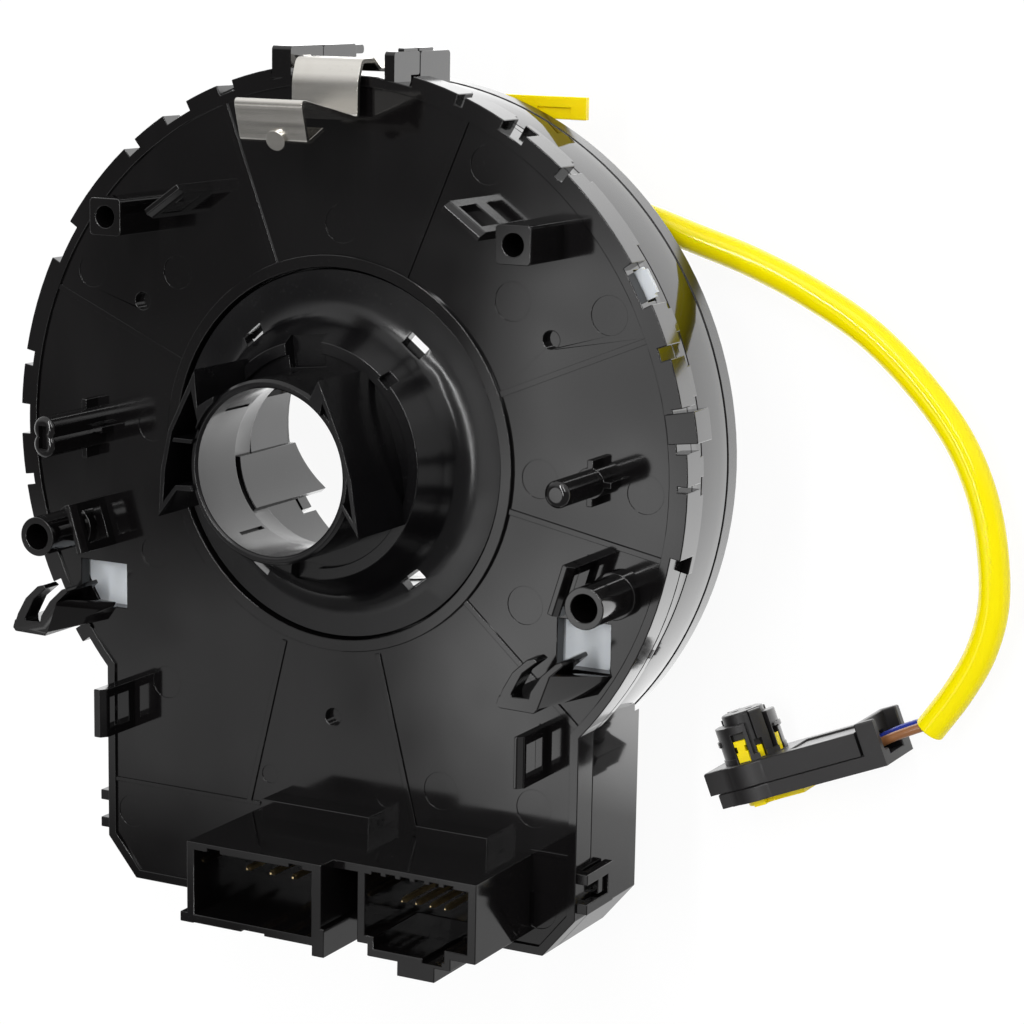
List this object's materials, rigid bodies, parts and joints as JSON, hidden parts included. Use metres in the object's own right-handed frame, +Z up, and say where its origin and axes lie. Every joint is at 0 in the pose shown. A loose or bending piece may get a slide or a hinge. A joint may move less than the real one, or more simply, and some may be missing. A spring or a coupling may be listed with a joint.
{
  "type": "steering clock spring",
  "caption": "Steering column clock spring: a flat black drum with plug sockets, screw posts and cancelling cams round its bore, a spring clip, and a yellow airbag lead with a right-angle plug.",
  "frame": {"origin": "on the rotor's axis, in the plane of the cover's column side", "axes": "+Y along the steering axis towards the steering wheel, -Y towards the steering column, +Z up from the plug sockets to the spring clip, +X to the right seen from the column"},
  "size_m": [0.1398, 0.0518, 0.1209],
  "materials": {
    "housing_plastic": "polished black moulding",
    "rotor_plastic": "polished black moulding",
    "inner_plastic": "fine grained black moulding",
    "slide_film": "smooth white low friction sheet",
    "natural_acetal": "milky white moulding",
    "nickel_steel": "nickel plated spring steel",
    "gold_terminal": "gold flashed contact",
    "flat_cable": "amber ribbon with copper tracks inside",
    "yellow_sleeve": "soft shiny sleeve",
    "yellow_lock": "yellow moulding",
    "plug_plastic": "black moulding with a fine grain",
    "brown_insulation": "brown wire insulation",
    "blue_insulation": "blue wire insulation"
  },
  "bodies": {
    "housing": {"column_cover": "housing_plastic", "drum_housing": "housing_plastic", "slide_sheet": "slide_film", "spring_clip": "nickel_steel", "terminal_block": "inner_plastic", "left_socket_pins": "gold_terminal", "right_socket_pins": "gold_terminal", "outer_winding": "flat_cable", "outer_cable_holder": "natural_acetal"},
    "rotor": {"rotor_hub": "rotor_plastic", "rotor_cover": "rotor_plastic", "wheel_slide_sheet": "slide_film", "inner_winding": "flat_cable", "inner_cable_holder": "inner_plastic", "wheel_socket_pins": "gold_terminal", "cable_clamp": "inner_plastic", "strain_relief": "inner_plastic", "yellow_sleeve": "yellow_sleeve", "brown_wire": "brown_insulation", "blue_wire": "blue_insulation", "plug_upper_shell": "plug_plastic", "plug_lower_shell": "plug_plastic", "plug_terminals": "gold_terminal"},
    "guide": {"guide_ring": "natural_acetal", "cable_u_turn": "flat_cable"},
    "roller": {"turning_roller": "natural_acetal"},
    "transport_lock": {"transport_lock": "yellow_lock"},
    "plug_lock": {"plug_lock": "yellow_lock"}
  },
  "joints": [
    {"name": "rotor_turn", "type": "hinge", "parent": "housing", "child": "rotor", "pos_m": [0, 0, 0], "axis": [0, 1, 0], "range_deg": [-900, 900]},
    {"name": "guide_turn", "type": "hinge", "parent": "housing", "child": "guide", "pos_m": [0, 0, 0], "axis": [0, 1, 0], "range_deg": [-330, 330]},
    {"name": "roller_spin", "type": "hinge", "parent": "guide", "child": "roller", "pos_m": [0.0358, 0, 0], "axis": [0, 1, 0], "range_deg": [-2340, 2340]},
    {"name": "lock_pull", "type": "slide", "parent": "rotor", "child": "transport_lock", "axis": [0, 1, 0], "range_m": [0, 0.03]},
    {"name": "plug_lock_slide", "type": "slide", "parent": "rotor", "child": "plug_lock", "axis": [-0.3827, 0, 0.9239], "range_m": [-0.002, 0.0008]}
  ],
  "couplings": [
    {"joint": "guide_turn", "follows": "rotor_turn", "ratio": 0.365},
    {"joint": "roller_spin", "follows": "rotor_turn", "ratio": -2.59}
  ]
}
